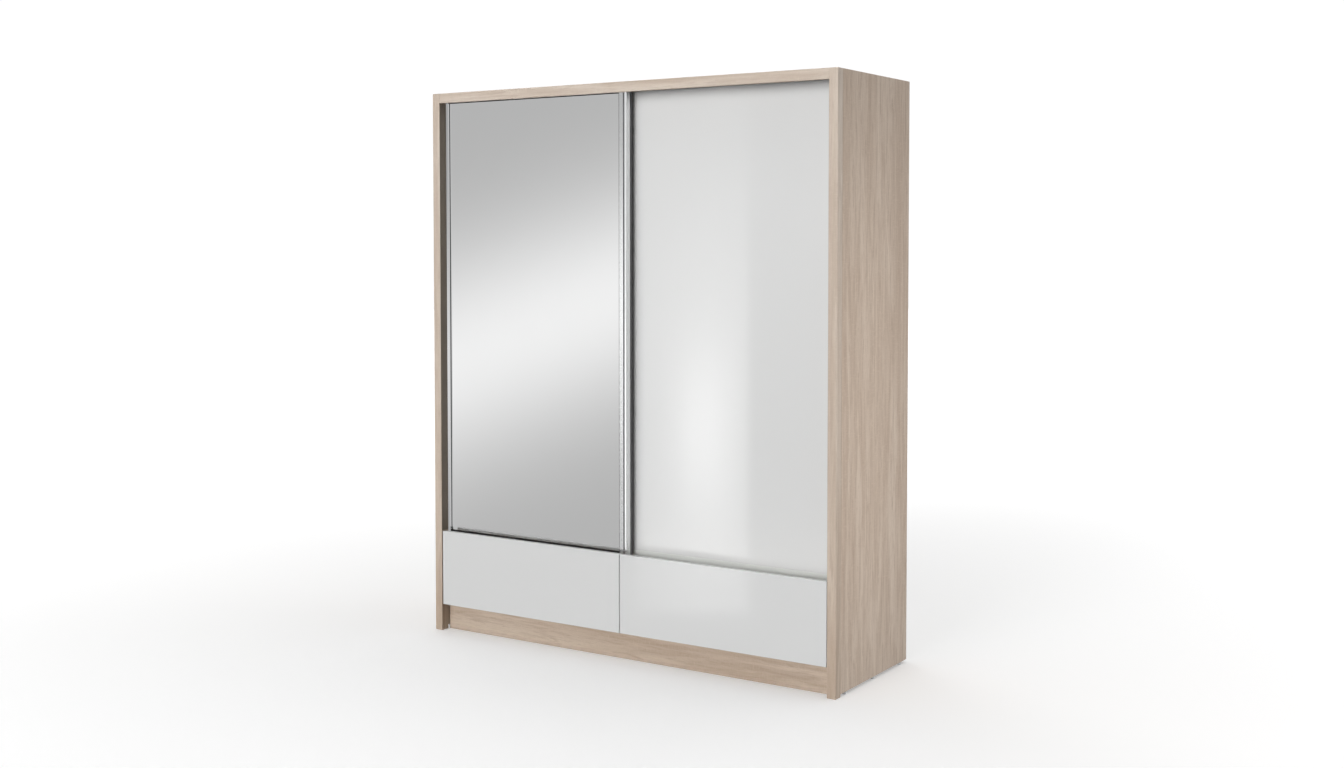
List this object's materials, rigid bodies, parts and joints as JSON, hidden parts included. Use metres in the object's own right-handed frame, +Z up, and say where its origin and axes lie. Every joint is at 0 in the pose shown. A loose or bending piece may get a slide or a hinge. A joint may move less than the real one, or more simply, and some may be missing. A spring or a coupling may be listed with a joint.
{
  "type": "sliding door wardrobe",
  "caption": "Free-standing wardrobe with a mirror door and a gloss door on a double track, wide drawers below, shelves and a hanging rod inside.",
  "frame": {"origin": "middle of the footprint, on the floor", "axes": "+X to the right of someone facing the doors, -Y out through the doors and drawers, +Z up"},
  "size_m": [1.8, 0.58, 2.15],
  "materials": {
    "oak_laminate": "matt pale greyish-beige oak laminate, fine grain running up",
    "oak_laminate_across": "the same oak laminate, grain running across",
    "oak_inside": "matt pale oak laminate inside the wardrobe",
    "hardboard": "thin lacquered hardboard, off-white",
    "white_gloss": "white high-gloss foil on board",
    "white_board": "white melamine-faced board",
    "mirror": "clear silver mirror",
    "aluminium": "satin anodised",
    "pale_rail": "light-grey lacquered",
    "black_rail": "black anodised",
    "black_rubber": "matt black",
    "grey_nylon": "moulded, satin",
    "zinc_steel": "zinc-plated sheet",
    "white_steel": "white powder coat",
    "chrome": "polished"
  },
  "bodies": {
    "carcass": {"left_side_panel": "oak_laminate", "right_side_panel": "oak_laminate", "left_front_strip": "oak_laminate", "right_front_strip": "oak_laminate", "top_panel": "oak_inside", "fascia": "oak_laminate_across", "deck_panel": "oak_inside", "base_panel": "oak_inside", "front_plinth": "oak_laminate_across", "rear_plinth": "oak_inside", "base_rib": "oak_inside", "drawer_divider": "oak_inside", "centre_divider": "oak_inside", "back_panel_left": "hardboard", "back_panel_right": "hardboard", "hat_shelf": "oak_inside", "shelf_1": "oak_inside", "shelf_2": "oak_inside", "shelf_3": "oak_inside", "hanging_rod": "chrome", "rod_holder_left": "chrome", "rod_holder_right": "chrome", "bottom_track": "aluminium", "top_track": "aluminium", "left_drawer_inner_runner": "zinc_steel", "left_drawer_outer_runner": "zinc_steel", "right_drawer_inner_runner": "zinc_steel", "right_drawer_outer_runner": "zinc_steel"},
    "mirror_door": {"mirror_door_edge_profile": "aluminium", "mirror_door_handle_profile": "aluminium", "mirror_glass": "mirror", "mirror_backing_board": "white_board", "mirror_door_bottom_rail": "black_rail", "mirror_door_top_rail": "black_rail", "mirror_door_dust_seal": "black_rubber", "mirror_door_roller_carrier_left": "zinc_steel", "mirror_door_roller_carrier_right": "zinc_steel", "mirror_door_top_guide_left": "grey_nylon", "mirror_door_top_guide_right": "grey_nylon"},
    "white_door": {"white_door_handle_profile": "aluminium", "white_door_board": "white_gloss", "white_door_bottom_rail": "pale_rail", "white_door_roller_carrier_left": "zinc_steel", "white_door_roller_carrier_right": "zinc_steel", "white_door_top_guide_left": "grey_nylon", "white_door_top_guide_right": "grey_nylon"},
    "left_drawer": {"left_drawer_front": "white_gloss", "left_drawer_inner_side": "white_steel", "left_drawer_outer_side": "white_steel", "left_drawer_bottom": "white_board", "left_drawer_back": "white_board"},
    "right_drawer": {"right_drawer_front": "white_gloss", "right_drawer_inner_side": "white_steel", "right_drawer_outer_side": "white_steel", "right_drawer_bottom": "white_board", "right_drawer_back": "white_board"},
    "mirror_door_wheel_left": {"mirror_door_wheel_left": "grey_nylon"},
    "mirror_door_wheel_right": {"mirror_door_wheel_right": "grey_nylon"},
    "white_door_wheel_left": {"white_door_wheel_left": "grey_nylon"},
    "white_door_wheel_right": {"white_door_wheel_right": "grey_nylon"}
  },
  "joints": [
    {"name": "mirror_door_slide", "type": "slide", "parent": "carcass", "child": "mirror_door", "axis": [1, 0, 0], "range_m": [0, 0.865]},
    {"name": "white_door_slide", "type": "slide", "parent": "carcass", "child": "white_door", "axis": [-1, 0, 0], "range_m": [0, 0.865]},
    {"name": "mirror_door_wheel_left_spin", "type": "hinge", "parent": "mirror_door", "child": "mirror_door_wheel_left", "pos_m": [-0.763, -0.222, 0.3883], "axis": [0, 1, 0], "continuous": true},
    {"name": "mirror_door_wheel_right_spin", "type": "hinge", "parent": "mirror_door", "child": "mirror_door_wheel_right", "pos_m": [-0.105, -0.222, 0.3883], "axis": [0, 1, 0], "continuous": true},
    {"name": "white_door_wheel_left_spin", "type": "hinge", "parent": "white_door", "child": "white_door_wheel_left", "pos_m": [0.105, -0.179, 0.3883], "axis": [0, 1, 0], "continuous": true},
    {"name": "white_door_wheel_right_spin", "type": "hinge", "parent": "white_door", "child": "white_door_wheel_right", "pos_m": [0.763, -0.179, 0.3883], "axis": [0, 1, 0], "continuous": true},
    {"name": "left_drawer_slide", "type": "slide", "parent": "carcass", "child": "left_drawer", "axis": [0, -1, 0], "range_m": [0, 0.38]},
    {"name": "right_drawer_slide", "type": "slide", "parent": "carcass", "child": "right_drawer", "axis": [0, -1, 0], "range_m": [0, 0.38]}
  ],
  "couplings": [
    {"joint": "mirror_door_wheel_left_spin", "follows": "mirror_door_slide", "rad_per_m": 90.909},
    {"joint": "mirror_door_wheel_right_spin", "follows": "mirror_door_slide", "rad_per_m": 90.909},
    {"joint": "white_door_wheel_left_spin", "follows": "white_door_slide", "rad_per_m": -90.909},
    {"joint": "white_door_wheel_right_spin", "follows": "white_door_slide", "rad_per_m": -90.909}
  ]
}
